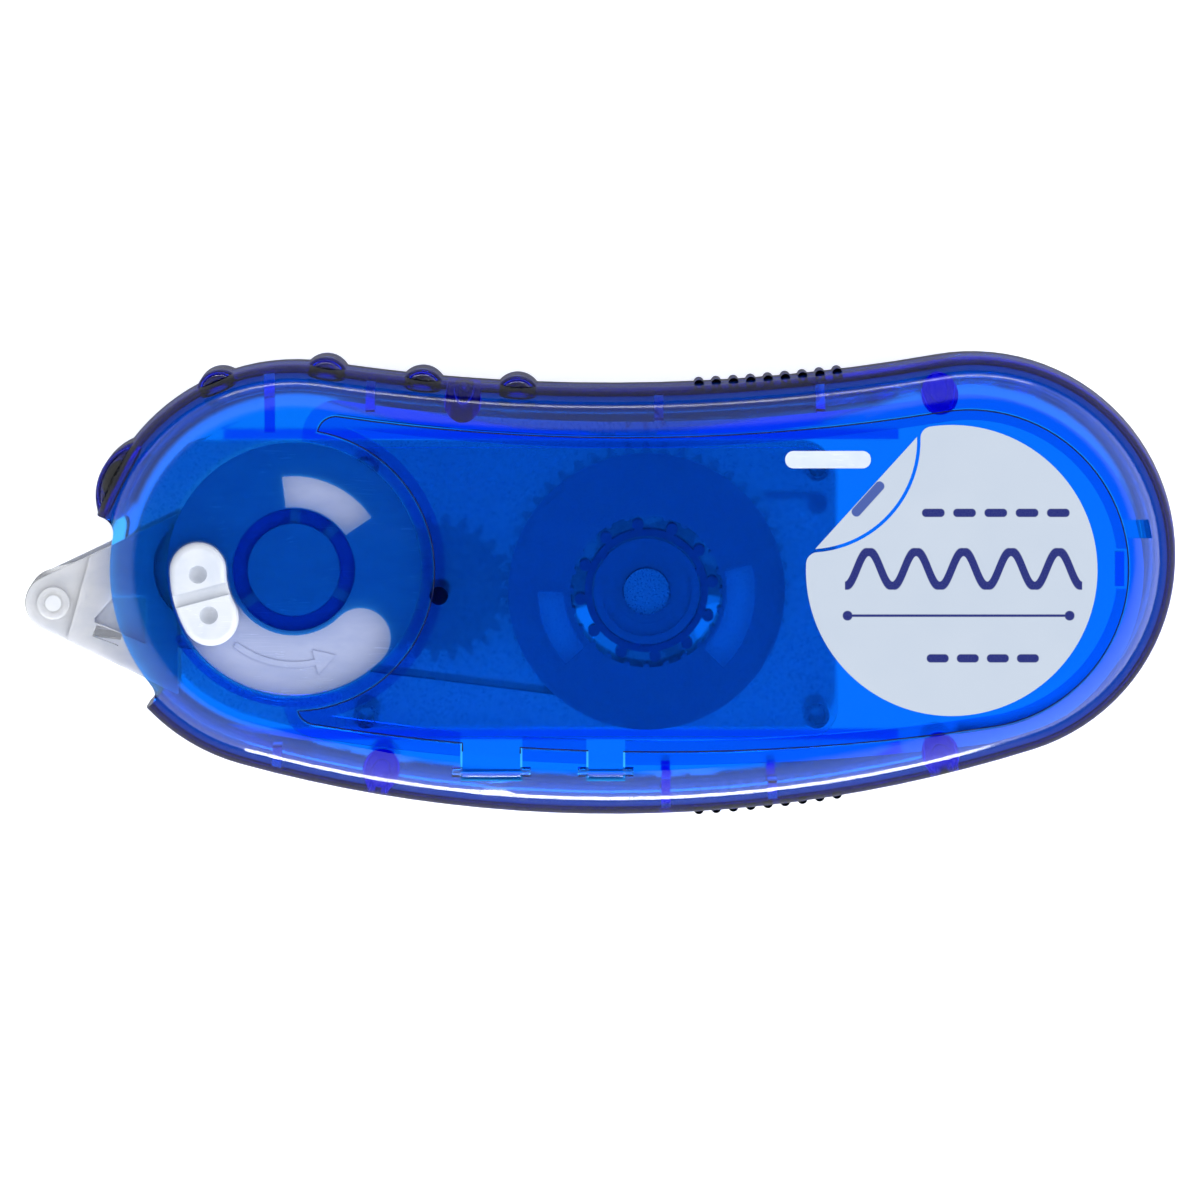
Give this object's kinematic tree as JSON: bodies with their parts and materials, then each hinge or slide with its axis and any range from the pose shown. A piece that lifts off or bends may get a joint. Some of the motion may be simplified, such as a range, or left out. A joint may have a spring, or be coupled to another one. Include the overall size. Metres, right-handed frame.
{
  "type": "tape roller",
  "caption": "Bean-shaped refillable tape roller: a thumb knob draws the tape head into the case through a rack, reels are geared together, and a hinged door opens for refills.",
  "frame": {"origin": "centre of the overall box, on the flat back face the roller lies on", "axes": "+X along the case away from the tape head, +Y across it towards the waist side, +Z out of the front face with the dial, door and label"},
  "size_m": [0.1, 0.0402, 0.0182],
  "materials": {
    "clear_blue": "glossy translucent",
    "milky": "semi-gloss, milky",
    "white": "semi-gloss",
    "gear_white": "satin",
    "label_film": "satin printed film",
    "tape_roll": "satin",
    "backing": "smooth paper",
    "dark_pin": "satin",
    "roller_rubber": "matte"
  },
  "bodies": {
    "case": {"rear_shell": "clear_blue", "front_shell": "clear_blue"},
    "selector": {"dial": "milky", "thumb_knob": "white"},
    "cartridge": {"cartridge_frame": "milky", "cartridge_cover": "clear_blue", "idler_axle": "dark_pin", "head_housing": "milky", "roller_axle": "white", "tape_run": "backing", "reverse_pawl": "gear_white"},
    "supply_reel": {"supply_gear": "gear_white", "supply_spool": "gear_white", "clutch_wheel": "dark_pin", "clutch_cap": "gear_white", "supply_tape": "tape_roll"},
    "idler_wheel": {"idler_gear": "gear_white"},
    "take_up_reel": {"take_up_gear": "gear_white", "take_up_spool": "gear_white", "take_up_tape": "backing"},
    "roller": {"head_roller": "roller_rubber"},
    "door": {"refill_door": "clear_blue", "door_label": "label_film"}
  },
  "joints": [
    {"name": "knob_turn", "type": "hinge", "parent": "case", "child": "selector", "pos_m": [-0.0266, 0.0015, 0], "axis": [0, 0, 1], "range_deg": [0, 105]},
    {"name": "cartridge_slide", "type": "slide", "parent": "case", "child": "cartridge", "axis": [1, 0, 0], "range_m": [0, 0.00733]},
    {"name": "supply_spin", "type": "hinge", "parent": "cartridge", "child": "supply_reel", "pos_m": [0.00393, -0.00051, 0], "axis": [0, 0, 1], "continuous": true},
    {"name": "idler_spin", "type": "hinge", "parent": "cartridge", "child": "idler_wheel", "pos_m": [-0.01406, -0.00082, 0], "axis": [0, 0, 1], "continuous": true},
    {"name": "take_up_spin", "type": "hinge", "parent": "cartridge", "child": "take_up_reel", "pos_m": [-0.0266, 0.0015, 0], "axis": [0, 0, 1], "continuous": true},
    {"name": "roller_spin", "type": "hinge", "parent": "cartridge", "child": "roller", "pos_m": [-0.0475, -0.00155, 0], "axis": [0, 0, 1], "continuous": true},
    {"name": "door_hinge", "type": "hinge", "parent": "case", "child": "door", "pos_m": [0, -0.01598, 0.0169], "axis": [1, 0, 0], "range_deg": [0, 100]}
  ],
  "couplings": [
    {"joint": "knob_turn", "follows": "cartridge_slide", "rad_per_m": 250},
    {"joint": "idler_spin", "follows": "supply_spin", "ratio": -2},
    {"joint": "take_up_spin", "follows": "supply_spin", "ratio": 1.7778},
    {"joint": "roller_spin", "follows": "supply_spin", "ratio": 4.2391}
  ]
}
